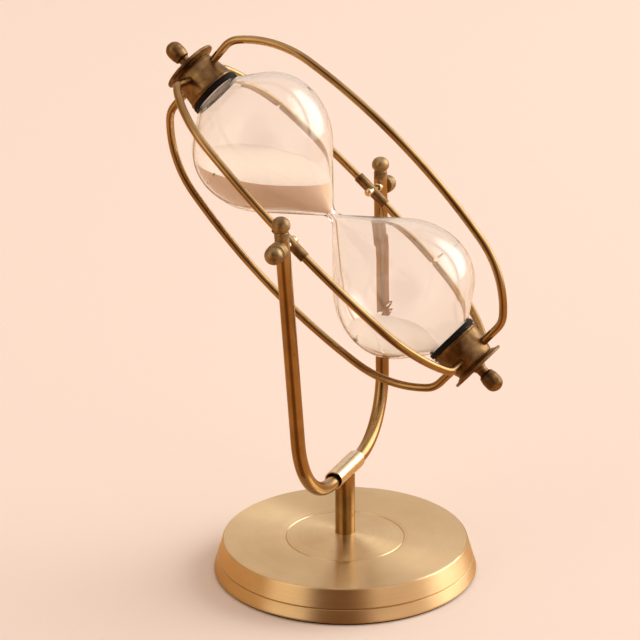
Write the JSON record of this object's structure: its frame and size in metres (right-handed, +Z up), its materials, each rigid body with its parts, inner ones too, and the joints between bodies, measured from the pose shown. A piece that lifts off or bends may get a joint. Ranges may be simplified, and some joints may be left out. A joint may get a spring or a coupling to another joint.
{
  "type": "hourglass",
  "caption": "Glass hourglass in a wire cage that swings end over end between the arms of a U-shaped yoke on a weighted round foot.",
  "frame": {"origin": "centre of the foot's underside, on the surface it stands on", "axes": "+Z up, +X along the pivot axis towards the right arm, the yoke leans a little and the hourglass a lot towards +Y at rest"},
  "size_m": [0.1375, 0.1589, 0.2421],
  "materials": {
    "antique_brass": "drawn wire, dark lacquer worn to brighter brass",
    "dark_bronze": "darkened brass, mottled",
    "worn_brass": "turned brass, handled and mottled",
    "brushed_brass": "spun brass, brushed in circles and lacquered",
    "bright_brass": "polished",
    "black_rubber": "matt",
    "clear_glass": "clear blown glass",
    "sand": null,
    "cork": "pressed cork",
    "felt": "black felt",
    "cast_iron": "as cast",
    "steel": "zinc plated",
    "solder": "tin solder"
  },
  "bodies": {
    "stand": {"felt_pad": "felt", "foot_cover": "brushed_brass", "foot_weight": "cast_iron", "foot_washer": "steel", "foot_screw": "steel", "post": "antique_brass", "saddle_sleeve": "bright_brass", "saddle_solder": "solder", "yoke": "antique_brass", "finial_left": "worn_brass", "finial_right": "worn_brass", "pivot_bead_left": "bright_brass", "pivot_bead_right": "bright_brass"},
    "cage": {"glass": "clear_glass", "sand_upper": "sand", "sand_lower": "sand", "rib_left": "antique_brass", "rib_right": "antique_brass", "rib_upper": "antique_brass", "rib_lower": "antique_brass", "rib_collar_left": "dark_bronze", "rib_collar_right": "dark_bronze", "pivot_nut_left": "bright_brass", "pivot_nut_right": "bright_brass", "cap_top": "dark_bronze", "cap_bottom": "dark_bronze", "cap_disc_top": "dark_bronze", "cap_disc_bottom": "dark_bronze", "end_knob_top": "dark_bronze", "end_knob_bottom": "dark_bronze", "seal_top": "black_rubber", "seal_bottom": "black_rubber", "stopper_top": "cork", "stopper_bottom": "cork"},
    "left_screw": {"pivot_screw_left": "worn_brass"},
    "right_screw": {"pivot_screw_right": "worn_brass"}
  },
  "joints": [
    {"name": "cage_swing", "type": "hinge", "parent": "stand", "child": "cage", "pos_m": [0, 0.00479, 0.1664], "axis": [1, 0, 0], "continuous": true},
    {"name": "left_screw_turn", "type": "hinge", "parent": "stand", "child": "left_screw", "pos_m": [-0.05597, 0.00477, 0.1659], "axis": [0.9978, 0.0026, 0.0655], "range_deg": [0, 360]},
    {"name": "right_screw_turn", "type": "hinge", "parent": "stand", "child": "right_screw", "pos_m": [0.05595, 0.00476, 0.16567], "axis": [-0.9978, 0.0026, 0.0655], "range_deg": [0, 360]}
  ]
}
